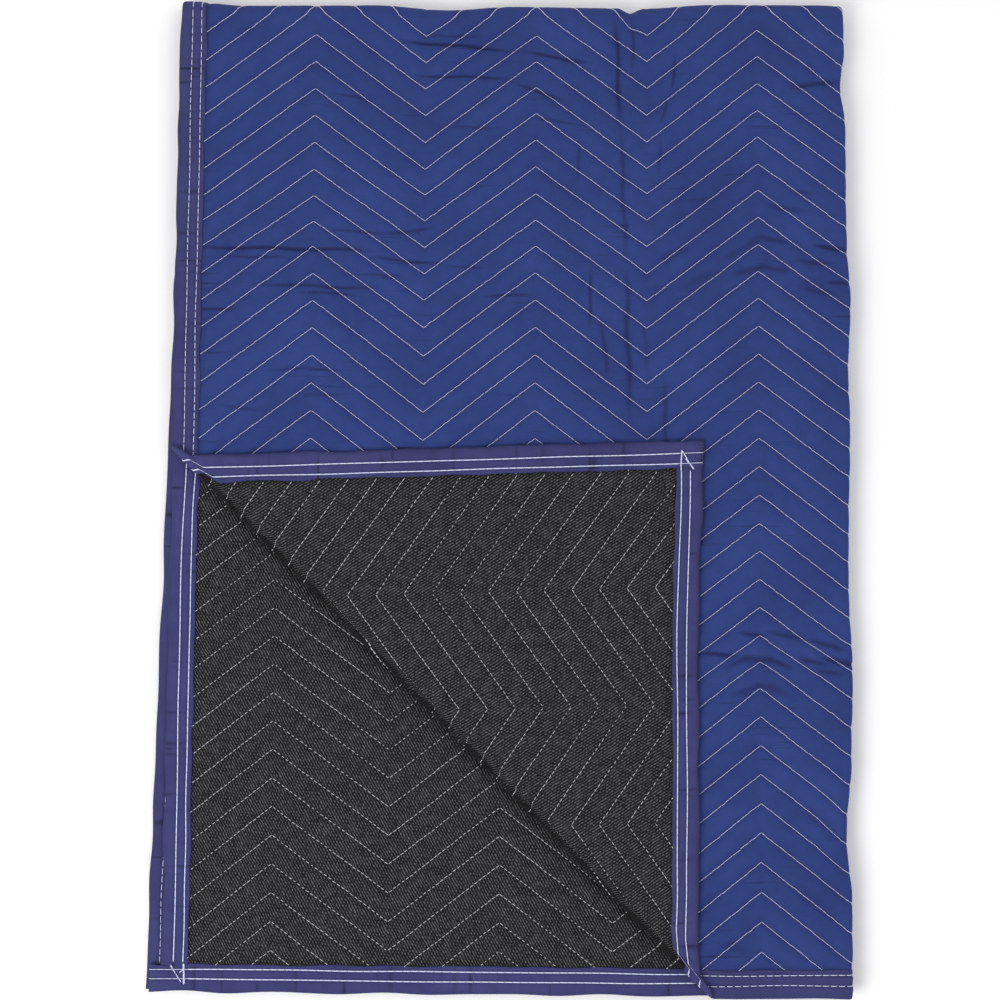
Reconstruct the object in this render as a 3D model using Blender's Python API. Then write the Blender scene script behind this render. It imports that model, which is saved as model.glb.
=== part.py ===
# Moving blanket folded in quarters, with one corner of its top layer turned back.
# The whole blanket is first made flat, blue side up, then bent along its creases.
# Flat, its lower left quarter becomes the top layer. The lower right quarter is folded under it
# along the side crease, and the upper half is folded under both along the top crease.

import math

import bmesh
import bpy
from mathutils import Vector

# Flat outline in metres, counter-clockwise. The cut is a little out of square, with a drawn-in waist.
corners = {
    "low_left": Vector((-0.2999, -0.4441)),
    "low_right": Vector((0.9353, -0.4397)),
    "waist": Vector((0.9242, 0.4575)),
    "high_right": Vector((0.9442, 1.3537)),
    "high_left": Vector((-0.2939, 1.3470)),
}
sides = ["bottom", "right_low", "right_high", "top", "left"]

# Thickness, as heights from the middle of the pad with the blue side up.
pad_half = 0.0024
bound_half = 0.0011
cloth_gap = 0.0003
lining_thick = 0.0013
lining_bound_thick = 0.0010
layer_gap = 0.0008
layer_pitch = 2 * pad_half + layer_gap

# Binding tape, folded over the edge of the pad.
tape_width = 0.0254
tape_thick = 0.0010
tape_corner = 0.0008
pad_inset = tape_thick + cloth_gap
band_end = tape_width + 2 * cloth_gap
band_ramp = 0.0030

# Creases: where each bend starts, the radius of the pad's middle in it, and its flat facets.
side_crease = {"normal": Vector((1, 0)), "start": 0.3107, "radius": layer_pitch / 2, "facets": 6}
top_crease = {"normal": Vector((0, 1)), "start": 0.4487, "radius": layer_pitch, "facets": 8}
flap_crease = {"normal": Vector((-1, -1)).normalized(), "start": 0.1738, "radius": layer_pitch / 2, "facets": 6}
flap_take_up = 0.0060
flap_take_up_run = 0.030
flap_shear = 0.044

# Chevron quilting: stitch lines one inch apart, their high points four inches from their low ones.
line_pitch = 0.0254
half_period = 0.1016
chevron_drop = 3 * line_pitch
peak_column = 0.2345
peak_row = 0.4353
quilting_columns = range(-6, 7)
face_relief = 0.0010
lining_relief = 0.0005

# How far the folded edges stray outwards, by where they stray.
side_waves = [
    {"at": -0.3600, "out": 0.0000},
    {"at": -0.3000, "out": -0.0045},
    {"at": -0.2300, "out": 0.0005},
    {"at": -0.1600, "out": 0.0022},
    {"at": -0.0700, "out": -0.0008},
    {"at": 0.0700, "out": 0.0016},
    {"at": 0.1200, "out": 0.0005},
    {"at": 0.1800, "out": 0.0033},
    {"at": 0.2400, "out": 0.0000},
    {"at": 0.3450, "out": 0.0000},
    {"at": 0.3850, "out": -0.0045},
    {"at": 0.4200, "out": -0.0010},
]
top_waves = [
    {"at": -0.3300, "out": 0.0050},
    {"at": -0.2400, "out": 0.0000},
    {"at": -0.1200, "out": 0.0010},
    {"at": -0.0500, "out": -0.0035},
    {"at": 0.0100, "out": 0.0000},
    {"at": 0.1200, "out": -0.0035},
    {"at": 0.2000, "out": 0.0025},
    {"at": 0.2900, "out": 0.0022},
]
wave_reach = 0.0300

# The stack is a little thicker at the folded edges than at the open ones.
puff_at_side = 0.05
puff_at_top = 0.05
low_left_of_stack = Vector((-0.314, -0.444))
stack_size = Vector((0.630, 0.905))

# Middle of the folded footprint, which becomes the origin.
footprint_middle = Vector((0.0026, 0.00982))

# Points closer than this become one, and places are compared to this many digits.
merge_distance = 2e-5
place_digits = 7

face_sheet = {
    "full": (-pad_half + lining_thick + cloth_gap, pad_half),
    "bound": (-bound_half + lining_bound_thick + cloth_gap, bound_half),
}
lining_sheet = {
    "full": (-pad_half, -pad_half + lining_thick),
    "bound": (-bound_half, -bound_half + lining_bound_thick),
}
binding_runs = {
    "binding_bottom": ["bottom"],
    "binding_right": ["right_low", "right_high"],
    "binding_top": ["top"],
    "binding_left": ["left"],
}
looks = {
    "face_panel": ((0.032, 0.055, 0.190), 0.85),
    "lining_panel": ((0.020, 0.020, 0.022), 0.95),
    "binding": ((0.050, 0.048, 0.150), 0.80),
}


def clear_scene():
    for thing in list(bpy.data.objects):
        bpy.data.objects.remove(thing, do_unlink=True)


def side_line(side, inset):
    """A point on a side of the flat outline moved inwards, its direction and its inward normal."""
    names = list(corners)
    first = sides.index(side)
    start = corners[names[first]]
    end = corners[names[(first + 1) % len(names)]]
    along = (end - start).normalized()
    inward = Vector((-along.y, along.x))
    return start + inset * inward, along, inward


def crossing(side, inset, other_side, other_inset):
    """Where two sides meet once each is moved inwards by its own inset."""
    point, along, _ = side_line(side, inset)
    other_point, _, other_inward = side_line(other_side, other_inset)
    reach = (other_point - point).dot(other_inward) / along.dot(other_inward)
    return point + reach * along


def edge_distance(place):
    """Distance of a flat place from the outline, taking the nearer stretch at the waist."""
    skipped = "right_high" if place.y < corners["waist"].y else "right_low"
    distances = []
    for side in sides:
        if side != skipped:
            point, _, inward = side_line(side, 0)
            distances.append((place - point).dot(inward))
    return min(distances)


def bound_share(place):
    """1 under the binding, 0 where the pad has its full thickness, with a short ramp between."""
    past = (edge_distance(place) - band_end) / band_ramp
    return 1 - min(max(past, 0), 1)


def line_share(place):
    """0 on a stitch line, 1 midway between two."""
    period = 2 * half_period
    across = abs((place.x - peak_column + half_period) % period - half_period)
    rows = (place.y - peak_row + chevron_drop * across / half_period) / line_pitch
    return 1 - 2 * abs(rows % 1 - 0.5)


def wave(table, at):
    """How far an edge strays at a place along it, in straight steps between the rows of its table."""
    if at <= table[0]["at"]:
        return table[0]["out"]
    for row, following in zip(table, table[1:]):
        if at <= following["at"]:
            share = (at - row["at"]) / (following["at"] - row["at"])
            return row["out"] + share * (following["out"] - row["out"])
    return table[-1]["out"]


def bend(place, height, crease, centre):
    """Turns what lies past a crease round a centre line at the given height.

    A point s past the start goes through the angle s / radius, up to half a turn, then runs back.
    """
    past = place.dot(crease["normal"]) - crease["start"]
    if past <= 0:
        return place, height, 0
    angle = min(past / crease["radius"], math.pi)
    run = max(past - math.pi * crease["radius"], 0)
    arm = abs(height - centre)
    moved = arm * math.sin(angle) - run - past
    return place + moved * crease["normal"], centre + (height - centre) * math.cos(angle), run


def fold(point):
    """From the flat blanket to the folded one."""
    place = Vector((point.x, point.y))
    height = point.z
    place, height, run = bend(place, height, flap_crease, flap_crease["radius"])
    place = place + flap_take_up * min(run / flap_take_up_run, 1) * flap_crease["normal"]
    place.y += flap_shear * run
    place, height, _ = bend(place, height, side_crease, -side_crease["radius"])
    place, height, _ = bend(place, height, top_crease, -1.5 * layer_pitch)
    strayed = place.copy()
    near_side = min(max((place.x - side_crease["start"]) / wave_reach + 1, 0), 1)
    near_top = min(max((place.y - top_crease["start"]) / wave_reach + 1, 0), 1)
    strayed.x += near_side * wave(side_waves, place.y)
    strayed.y += near_top * wave(top_waves, place.x)
    puff = 1
    puff += puff_at_side * (place.x - low_left_of_stack.x) / stack_size.x
    puff += puff_at_top * (place.y - low_left_of_stack.y) / stack_size.y
    height = puff * (height + 3 * layer_pitch + pad_half)
    strayed -= footprint_middle
    return Vector((strayed.x, strayed.y, height))


def cut(mesh, point, normal, faces=None):
    """Adds edges where a vertical plane crosses the mesh or some of its faces, and returns the faces."""
    chosen = list(mesh.faces) if faces is None else faces
    edges = {edge for face in chosen for edge in face.edges}
    verts = {vert for face in chosen for vert in face.verts}
    made = bmesh.ops.bisect_plane(
        mesh,
        geom=list(verts) + list(edges) + chosen,
        dist=1e-6,
        plane_co=(point.x, point.y, 0),
        plane_no=(normal.x, normal.y, 0),
    )
    return [piece for piece in made["geom"] if isinstance(piece, bmesh.types.BMFace)]


def middle(face):
    return face.calc_center_median().to_2d()


def cut_creases(mesh):
    """Cuts along every facet of the three bends, and where the flap stops being drawn up."""
    for crease in (side_crease, top_crease, flap_crease):
        arc = math.pi * crease["radius"]
        for facet in range(crease["facets"] + 1):
            reach = crease["start"] + arc * facet / crease["facets"]
            cut(mesh, reach * crease["normal"], crease["normal"])
    arc_end = flap_crease["start"] + math.pi * flap_crease["radius"]
    cut(mesh, (arc_end + flap_take_up_run) * flap_crease["normal"], flap_crease["normal"])


def mirrored(crease, reach):
    """Flat place that the crease folds back to the same reach."""
    return 2 * crease["start"] + math.pi * crease["radius"] - reach


def cut_waves(mesh):
    """Cuts beside each folded edge where its waves begin and change, in every layer."""
    for crease, across, table in (
        (side_crease, top_crease, side_waves),
        (top_crease, side_crease, top_waves),
    ):
        normal = crease["normal"]
        low = crease["start"] - wave_reach
        high = mirrored(crease, low)
        for reach in (low, high):
            cut(mesh, reach * normal, normal)
        for row in table:
            for reach in (row["at"], mirrored(across, row["at"])):
                strip = [face for face in mesh.faces if low < middle(face).dot(normal) < high]
                cut(mesh, reach * across["normal"], across["normal"], strip)


def cut_band(mesh):
    """Cuts where the pad thins towards the binding along each side."""
    for side in sides:
        for inset in (band_end, band_end + band_ramp):
            point, _, inward = side_line(side, inset)
            if side == "right_low":
                faces = [face for face in mesh.faces if middle(face).y < corners["waist"].y]
            elif side == "right_high":
                faces = [face for face in mesh.faces if middle(face).y > corners["waist"].y]
            else:
                faces = list(mesh.faces)
            cut(mesh, point, inward, faces)


def cut_quilting(mesh, shows):
    """Cuts the faces that show along each stitch line and midway between, column by column."""
    for column in quilting_columns:
        low = peak_column + column * half_period
        falling = column % 2 == 0
        slope = chevron_drop / half_period * (-1 if falling else 1)
        start_height = peak_row if falling else peak_row - chevron_drop
        for reach in (low, low + half_period):
            chosen = [face for face in mesh.faces if shows(middle(face))]
            cut(mesh, Vector((reach, 0)), Vector((1, 0)), chosen)
        strip = []
        for face in mesh.faces:
            if low < middle(face).x < low + half_period and shows(middle(face)):
                strip.append(face)
        if not strip:
            continue
        bottom = min(vert.co.y for face in strip for vert in face.verts)
        top = max(vert.co.y for face in strip for vert in face.verts)
        first = math.floor((bottom - peak_row) / line_pitch) * 2
        last = math.ceil((top + chevron_drop - peak_row) / line_pitch) * 2
        for half_line in range(first, last + 1):
            point = Vector((low, start_height + half_line * line_pitch / 2))
            strip = cut(mesh, point, Vector((-slope, 1)), strip)


def blue_shows(place):
    """The top layer, as far as the flap's crease."""
    if edge_distance(place) < band_end + band_ramp:
        return False
    return all(place.dot(crease["normal"]) < crease["start"] for crease in (side_crease, top_crease, flap_crease))


def lining_shows(place):
    """The turned-back corner, and the part of the second layer that it uncovers."""
    if edge_distance(place) < band_end + band_ramp or place.y > top_crease["start"]:
        return False
    flap_arc_end = flap_crease["start"] + math.pi * flap_crease["radius"]
    if place.dot(flap_crease["normal"]) > flap_arc_end:
        return True
    side_arc_end = side_crease["start"] + math.pi * side_crease["radius"]
    if place.x < side_arc_end:
        return False
    under = Vector((mirrored(side_crease, place.x), place.y))
    return under.dot(flap_crease["normal"]) > flap_crease["start"] - line_pitch


def flat_panel():
    """One flat face of the whole outline, inset to fit inside the bindings, in two halves."""
    mesh = bmesh.new()
    bmesh.ops.create_grid(mesh, x_segments=1, y_segments=2, size=1)
    left_point, left_along, _ = side_line("left", pad_inset)
    left_waist = left_point + left_along * (corners["waist"].y - left_point.y) / left_along.y
    places = {
        (-1, -1): crossing("left", pad_inset, "bottom", pad_inset),
        (1, -1): crossing("bottom", pad_inset, "right_low", pad_inset),
        (1, 0): crossing("right_low", pad_inset, "right_high", pad_inset),
        (1, 1): crossing("right_high", pad_inset, "top", pad_inset),
        (-1, 1): crossing("top", pad_inset, "left", pad_inset),
        (-1, 0): left_waist,
    }
    for vert in mesh.verts:
        place = places[round(vert.co.x), round(vert.co.y)]
        vert.co = (place.x, place.y, 0)
    return mesh


def thicken(mesh, sheet, shows, relief, relief_on_top):
    """Gives the cut panel its two faces, thinner under the binding and raised between stitch lines."""
    quilted = set()
    for face in mesh.faces:
        if shows(middle(face)):
            quilted.update(vert.co.xy.to_tuple(place_digits) for vert in face.verts)
    made = bmesh.ops.extrude_face_region(mesh, geom=list(mesh.faces))
    upper = {piece for piece in made["geom"] if isinstance(piece, bmesh.types.BMVert)}
    for vert in mesh.verts:
        place = vert.co.to_2d()
        on_top = vert in upper
        bound = bound_share(place)
        height = bound * sheet["bound"][on_top] + (1 - bound) * sheet["full"][on_top]
        if on_top == relief_on_top and place.to_tuple(place_digits) in quilted:
            sink = (1 - bound) * relief * (1 - line_share(place))
            height += -sink if relief_on_top else sink
        vert.co.z = height


def finish(mesh, name, look, collection):
    """Folds the flat solid and makes it an object with its own material."""
    bmesh.ops.recalc_face_normals(mesh, faces=list(mesh.faces))
    bmesh.ops.triangulate(mesh, faces=list(mesh.faces))
    for vert in mesh.verts:
        vert.co = fold(vert.co)
    data = bpy.data.meshes.new(name)
    mesh.to_mesh(data)
    mesh.free()
    color, roughness = looks[look]
    material = bpy.data.materials.new(name)
    material.use_nodes = True
    shader = material.node_tree.nodes["Principled BSDF"]
    shader.inputs["Base Color"].default_value = (*color, 1)
    shader.inputs["Roughness"].default_value = roughness
    data.materials.append(material)
    collection.objects.link(bpy.data.objects.new(name, data))


def make_panel(name, sheet, shows, relief, relief_on_top, collection):
    """A cloth of the full size, quilted where it shows."""
    mesh = flat_panel()
    cut_band(mesh)
    cut_creases(mesh)
    cut_waves(mesh)
    cut_quilting(mesh, shows)
    bmesh.ops.remove_doubles(mesh, verts=list(mesh.verts), dist=merge_distance)
    bmesh.ops.triangulate(mesh, faces=list(mesh.faces))
    thicken(mesh, sheet, shows, relief, relief_on_top)
    finish(mesh, name, name, collection)


def binding_profile():
    """Section of a binding as inset from the pad's edge and height, round the outside and back inside."""
    outer = pad_half
    inner = pad_half - tape_thick
    return [
        (tape_width, outer),
        (tape_corner, outer),
        (0, outer - tape_corner),
        (0, tape_corner - outer),
        (tape_corner, -outer),
        (tape_width, -outer),
        (tape_width, -inner),
        (tape_thick, -inner),
        (tape_thick, inner),
        (tape_width, inner),
    ]


def make_binding(name, run, collection):
    """A tape folded over one edge. It starts against the binding before it and covers the next one's start."""
    before = sides[sides.index(run[0]) - 1]
    after = sides[(sides.index(run[-1]) + 1) % len(sides)]
    profile = binding_profile()
    stations = [[crossing(run[0], inset, before, tape_width + cloth_gap) for inset, _ in profile]]
    if len(run) == 2:
        stations.append([crossing(run[0], inset, run[1], inset) for inset, _ in profile])
    stations.append([crossing(run[-1], inset, after, 0) for inset, _ in profile])
    mesh = bmesh.new()
    number = mesh.verts.layers.int.new("profile_point")
    section = []
    for index, (place, (_, height)) in enumerate(zip(stations[0], profile)):
        vert = mesh.verts.new((place.x, place.y, height))
        vert[number] = index
        section.append(vert)
    cap = mesh.faces.new(section)
    for station in stations[1:]:
        inner_cap = cap if station is not stations[1] else None
        made = bmesh.ops.extrude_face_region(mesh, geom=[cap])
        for piece in made["geom"]:
            if isinstance(piece, bmesh.types.BMVert):
                place = station[piece[number]]
                piece.co.x = place.x
                piece.co.y = place.y
            elif isinstance(piece, bmesh.types.BMFace):
                cap = piece
        if inner_cap and inner_cap.is_valid:
            bmesh.ops.delete(mesh, geom=[inner_cap], context="FACES_ONLY")
    cut_creases(mesh)
    cut_waves(mesh)
    finish(mesh, name, "binding", collection)


def main():
    clear_scene()
    collection = bpy.data.collections.new("moving_blanket")
    bpy.context.scene.collection.children.link(collection)
    make_panel("face_panel", face_sheet, blue_shows, face_relief, True, collection)
    make_panel("lining_panel", lining_sheet, lining_shows, lining_relief, False, collection)
    for name, run in binding_runs.items():
        make_binding(name, run, collection)


main()
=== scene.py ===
import math

import bmesh
import bpy
import numpy as np
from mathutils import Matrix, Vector


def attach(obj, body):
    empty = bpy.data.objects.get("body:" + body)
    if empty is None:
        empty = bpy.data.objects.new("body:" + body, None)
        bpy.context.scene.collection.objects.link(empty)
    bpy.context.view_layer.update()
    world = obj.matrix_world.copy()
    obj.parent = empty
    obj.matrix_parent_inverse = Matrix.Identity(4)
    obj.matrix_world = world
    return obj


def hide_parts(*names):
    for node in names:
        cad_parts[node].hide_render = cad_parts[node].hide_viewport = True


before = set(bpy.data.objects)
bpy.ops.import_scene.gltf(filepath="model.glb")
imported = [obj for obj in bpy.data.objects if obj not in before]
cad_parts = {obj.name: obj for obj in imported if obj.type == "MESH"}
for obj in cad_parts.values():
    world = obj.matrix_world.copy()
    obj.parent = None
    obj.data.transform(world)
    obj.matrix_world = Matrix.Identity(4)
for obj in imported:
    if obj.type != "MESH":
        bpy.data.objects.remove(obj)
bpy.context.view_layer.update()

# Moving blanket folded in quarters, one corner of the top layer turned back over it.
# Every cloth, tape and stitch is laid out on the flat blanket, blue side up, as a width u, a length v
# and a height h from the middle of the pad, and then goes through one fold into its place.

rng = np.random.default_rng(7)

# Flat outline of the blanket, counter-clockwise, as in the solids
outline = {
    "lowLeft": (-0.2999, -0.4441),
    "lowRight": (0.9353, -0.4397),
    "waist": (0.9242, 0.4575),
    "highRight": (0.9442, 1.3537),
    "highLeft": (-0.2939, 1.3470),
}
sideNames = ["bottom", "rightLow", "rightHigh", "top", "left"]

# What a user would change in the fold
foldSettings = {
    "padHalf": 0.0024,
    "layerPitch": 0.0056,
    "sideStart": 0.3107,
    "topStart": 0.4487,
    "flapStart": 0.1738,
    "flapTakeUp": 0.0115,
    "flapTakeUpRun": 0.015,
    "flapShear": 0.044,
    "flapSag": 0.0050,  # how far the middle of the flap's right edge is drawn in
    "waveReach": 0.030,
    "puffAtSide": 0.05,
    "puffAtTop": 0.05,
    "billow": 0.030,  # share by which the stack's height wanders
}
stackLow = (-0.314, -0.444)
stackSize = (0.630, 0.905)
footprintMiddle = (0.0026, 0.00982)
smallRadius = foldSettings["layerPitch"] / 2
largeRadius = foldSettings["layerPitch"]
diagonal = math.sqrt(0.5)

# How far the folded edges stray outwards, by where they stray
sideWaves = {
    "at": [-0.36, -0.30, -0.23, -0.16, -0.07, 0.07, 0.12, 0.18, 0.24, 0.345, 0.385, 0.42],
    "out": [0.0, -0.0045, 0.0005, 0.0022, -0.0008, 0.0016, 0.0005, 0.0033, 0.0, 0.0, -0.0045, -0.001],
}
topWaves = {
    "at": [-0.33, -0.29, -0.24, -0.12, -0.05, 0.01, 0.106, 0.118, 0.130, 0.20, 0.29],
    "out": [0.007, 0.004, 0.0, 0.001, -0.0035, 0.0, -0.001, -0.0060, -0.001, 0.0030, 0.0028],
}
# How far the turned-back corner's right edge is drawn in, by the distance along it
flapPull = {
    "at": [-0.45, -0.39, -0.34, -0.30, -0.12, 0.02, 0.06],
    "out": [1.0, 1.0, 0.8, 0.75, 0.9, 0.2, 0.0],
}
# How far the second layer's left edge is drawn in, by the distance along it
underPull = {
    "at": [-0.42, -0.16, -0.05, 0.05, 0.12],
    "out": [0.0050, 0.0025, 0.0013, 0.0030, 0.0],
}


# Smooth step from 0 at low to 1 at high
def smooth(value, low, high):
    share = np.clip((value - low) / (high - low), 0, 1)
    return share * share * (3 - 2 * share)


# Soft noise: a sum of sine waves with set directions and phases, about -1 to 1, on coordinates in metres.
def softNoise(x, y, size, seed):
    made = np.random.default_rng(seed)
    total = np.zeros(np.broadcast(x, y).shape)
    waves = 7
    for index in range(waves):
        angle = made.uniform(0, math.pi)
        phase = made.uniform(0, 2 * math.pi)
        rate = 2 * math.pi / (size * made.uniform(0.7, 1.6))
        total += np.sin(rate * (x * math.cos(angle) + y * math.sin(angle)) + phase)
    return total / math.sqrt(waves)


# Eased table: a cosine ease between the rows of a table, instead of straight steps.
def easedTable(table, at):
    places = np.array(table["at"])
    index = np.clip(np.searchsorted(places, at) - 1, 0, len(places) - 2)
    share = np.clip((at - places[index]) / (places[index + 1] - places[index]), 0, 1)
    share = (1 - np.cos(math.pi * share)) / 2
    outs = np.array(table["out"])
    return outs[index] * (1 - share) + outs[index + 1] * share


# Bend round a line: a point s past the start turns by s / radius, up to half a turn, then runs back.
# Its arm is its distance from the centre height.
def bend(x, y, z, normal, start, radius, centre):
    past = x * normal[0] + y * normal[1] - start
    beyond = past > 0
    angle = np.clip(past / radius, 0, math.pi)
    run = np.clip(past - math.pi * radius, 0, None)
    arm = np.abs(z - centre)
    moved = np.where(beyond, arm * np.sin(angle) - run - past, 0)
    turned = np.where(beyond, centre + (z - centre) * np.cos(angle), z)
    return x + moved * normal[0], y + moved * normal[1], turned, run


# Fold: the flap first, then the side crease, then the top crease, with the edges straying a little
# and the height growing towards the folded edges. Returns an array of places in the frame.
def fold(u, v, h):
    s = foldSettings
    v = v + lineStray(u, v)
    flapNormal = (-diagonal, -diagonal)
    x, y, z, run = bend(u, v, h, flapNormal, s["flapStart"], smallRadius, smallRadius)
    drawn = s["flapTakeUp"] * np.clip(run / s["flapTakeUpRun"], 0, 1)
    x = x + drawn * flapNormal[0]
    y = y + drawn * flapNormal[1] + s["flapShear"] * run
    onFlap = np.clip(run / 0.03, 0, 1) * np.clip((x + 0.02) / 0.20, 0, 1)
    x = x - s["flapSag"] * onFlap * easedTable(flapPull, y)
    x = x - smooth(x, 0.80, 0.93) * easedTable(underPull, y)
    x, y, z, _ = bend(x, y, z, (1, 0), s["sideStart"], smallRadius, -smallRadius)
    x, y, z, _ = bend(x, y, z, (0, 1), s["topStart"], largeRadius, -1.5 * s["layerPitch"])
    nearSide = np.clip((x - s["sideStart"]) / s["waveReach"] + 1, 0, 1)
    nearTop = np.clip((y - s["topStart"]) / s["waveReach"] + 1, 0, 1)
    strayX = nearSide * easedTable(sideWaves, y)
    strayY = nearTop * easedTable(topWaves, x)
    puff = 1 + s["puffAtSide"] * (x - stackLow[0]) / stackSize[0]
    puff = puff + s["puffAtTop"] * (y - stackLow[1]) / stackSize[1]
    puff = puff + s["billow"] * softNoise(x, y, 0.33, 11)
    z = puff * (z + 3 * s["layerPitch"] + s["padHalf"])
    x = x + strayX - footprintMiddle[0]
    y = y + strayY - footprintMiddle[1]
    return np.stack([x, y, np.maximum(z, 0.00005)], axis=-1)


# Side of the outline as its start, direction, inward normal and length
def sideLine(name):
    points = list(outline.values())
    first = sideNames.index(name)
    start = np.array(points[first])
    end = np.array(points[(first + 1) % len(points)])
    length = np.linalg.norm(end - start)
    along = (end - start) / length
    return start, along, np.array([-along[1], along[0]]), length


# Distance from the outline: the least of the distances from its sides, each half using its own right side.
def edgeDistance(u, v):
    waist = outline["waist"][1]
    distances = []
    for name in sideNames:
        start, _, inward, _ = sideLine(name)
        distance = (u - start[0]) * inward[0] + (v - start[1]) * inward[1]
        if name == "rightLow":
            distance = np.where(v > waist, 9, distance)
        if name == "rightHigh":
            distance = np.where(v > waist, distance, 9)
        distances.append(distance)
    return np.min(distances, axis=0)


# What a user would change in the quilting
quilting = {
    "linePitch": 0.0254,
    "halfPeriod": 0.1016,
    "peakColumn": 0.2345,
    "peakRow": 0.4353,
    "cornerRound": 0.0002,
    "faceDepth": 0.0016,
    "liningDepth": 0.0012,
    "grooveDepth": 0.00040,
    "grooveWidth": 0.0011,
    "stitchLength": 0.0046,
    "calmAtFolds": 0.70,  # share of the relief that is lost where the pad goes round a folded edge
}
chevronDrop = 3 * quilting["linePitch"]
# How far the pattern is drawn in beyond the side crease, by width
patternShift = {
    "at": [0.29, 0.43, 0.63, 0.73, 0.835],
    "out": [0.0, 0.0105, 0.0120, 0.0141, 0.0105],
}


# Pattern width: the flat width, drawn in beyond the side crease.
def patternWidth(u):
    return u + easedTable(patternShift, u)


# Flat width of a place in the pattern: the shift found at the last guess is taken off, a few times over.
def flatWidth(pattern):
    width = pattern
    for _ in range(6):
        width = pattern - easedTable(patternShift, width)
    return width


# Chevron fall: how far a stitch line has fallen from its peak at this width.
def chevronFall(u):
    period = 2 * quilting["halfPeriod"]
    across = (patternWidth(u) - quilting["peakColumn"] + quilting["halfPeriod"]) % period
    across = np.abs(across - quilting["halfPeriod"])
    rounding = quilting["cornerRound"]
    across = np.sqrt(across * across + rounding * rounding) - rounding
    return chevronDrop * across / quilting["halfPeriod"]


# Row place: counts stitch lines up the pad, whole numbers being on a line.
def rowPlace(u, v):
    return (v - quilting["peakRow"] + chevronFall(u)) / quilting["linePitch"]


# Distance to the nearest stitch line, counted in rows: 0 on a line and 0.5 half way to the next
def fromLine(u, v):
    return np.abs((rowPlace(u, v) + 0.5) % 1 - 0.5)


# Quilt relief: 0 at the crest between two lines and 1 in the valley, with a narrow groove for the thread.
# It is shallower round the folded edges, by how many radii a place is from the middle of the bend.
def quiltSink(u, v, depth):
    fromSide = (u - foldSettings["sideStart"]) / smallRadius - math.pi / 2
    fromTop = (v - foldSettings["topStart"]) / largeRadius - math.pi / 2
    nearest = np.minimum(np.abs(fromSide), np.abs(fromTop))
    depth = depth * (1 - quilting["calmAtFolds"] * np.exp(-((nearest / 2.4) ** 2)))
    away = fromLine(u, v)
    valley = (1 - 2 * away) ** 2.3
    groove = np.exp(-((away * quilting["linePitch"] / quilting["grooveWidth"]) ** 2))
    fullness = 1 + 0.22 * softNoise(u, v, 0.045, 3)
    return depth * valley * fullness + quilting["grooveDepth"] * groove


# Where the quilting lines stray up or down, in millimetres: a row for each length and a column for each width
strayTable = {
    "columns": [-171.9, -70.3, 31.3, 132.9, 234.5],
    "rows": {
        -440: [0, 0, 0, 0, 0],
        -350: [0, 0, 0, 1, 3.4],
        -270: [0, 0, 0, 1.5, 5.5],
        -165: [0, 0, 0, 2, 6.2],
        -130: [0, 0, 0, 1, 2.8],
        -30: [0, 0, 1, 1, 2],
        60: [1.4, -0.6, 2, 1.4, 3.4],
        180: [0.6, 1.4, 2.3, 1.7, 4.6],
        230: [-0.3, -1.1, 1, 1.2, 3.9],
        260: [-2.4, -1.8, -0.5, 0.1, 3.4],
        285: [-4.5, -3.3, -1.3, -0.8, 3.3],
        310: [-4.8, -4.4, -1.3, -2.8, 2.4],
        360: [-5.1, -5.5, -2.5, -4, 1.8],
        410: [-5.3, -6.2, -5, -4.5, 1.4],
        436: [-5.4, -5.7, -6, -4.9, -0.8],
    },
}


# Stray of a line: straight steps between the columns and the rows of the table, held past its ends,
# and fading out on the turned-back corner and round the folds.
def lineStray(u, v):
    columns = np.array(strayTable["columns"]) / 1000
    rows = np.array(list(strayTable["rows"])) / 1000
    up = np.array(list(strayTable["rows"].values())) / 1000
    column = np.clip(np.searchsorted(columns, u) - 1, 0, len(columns) - 2)
    row = np.clip(np.searchsorted(rows, v) - 1, 0, len(rows) - 2)
    across = np.clip((u - columns[column]) / (columns[column + 1] - columns[column]), 0, 1)
    along = np.clip((v - rows[row]) / (rows[row + 1] - rows[row]), 0, 1)
    low = up[row, column] * (1 - across) + up[row, column + 1] * across
    high = up[row + 1, column] * (1 - across) + up[row + 1, column + 1] * across
    stray = low * (1 - along) + high * along
    onTop = smooth((u + v) * diagonal, -foldSettings["flapStart"], 0.05 - foldSettings["flapStart"])
    onTop = onTop * (1 - smooth(u, 0.312, 0.36)) * (1 - smooth(v, 0.455, 0.50))
    return stray * onTop


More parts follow.
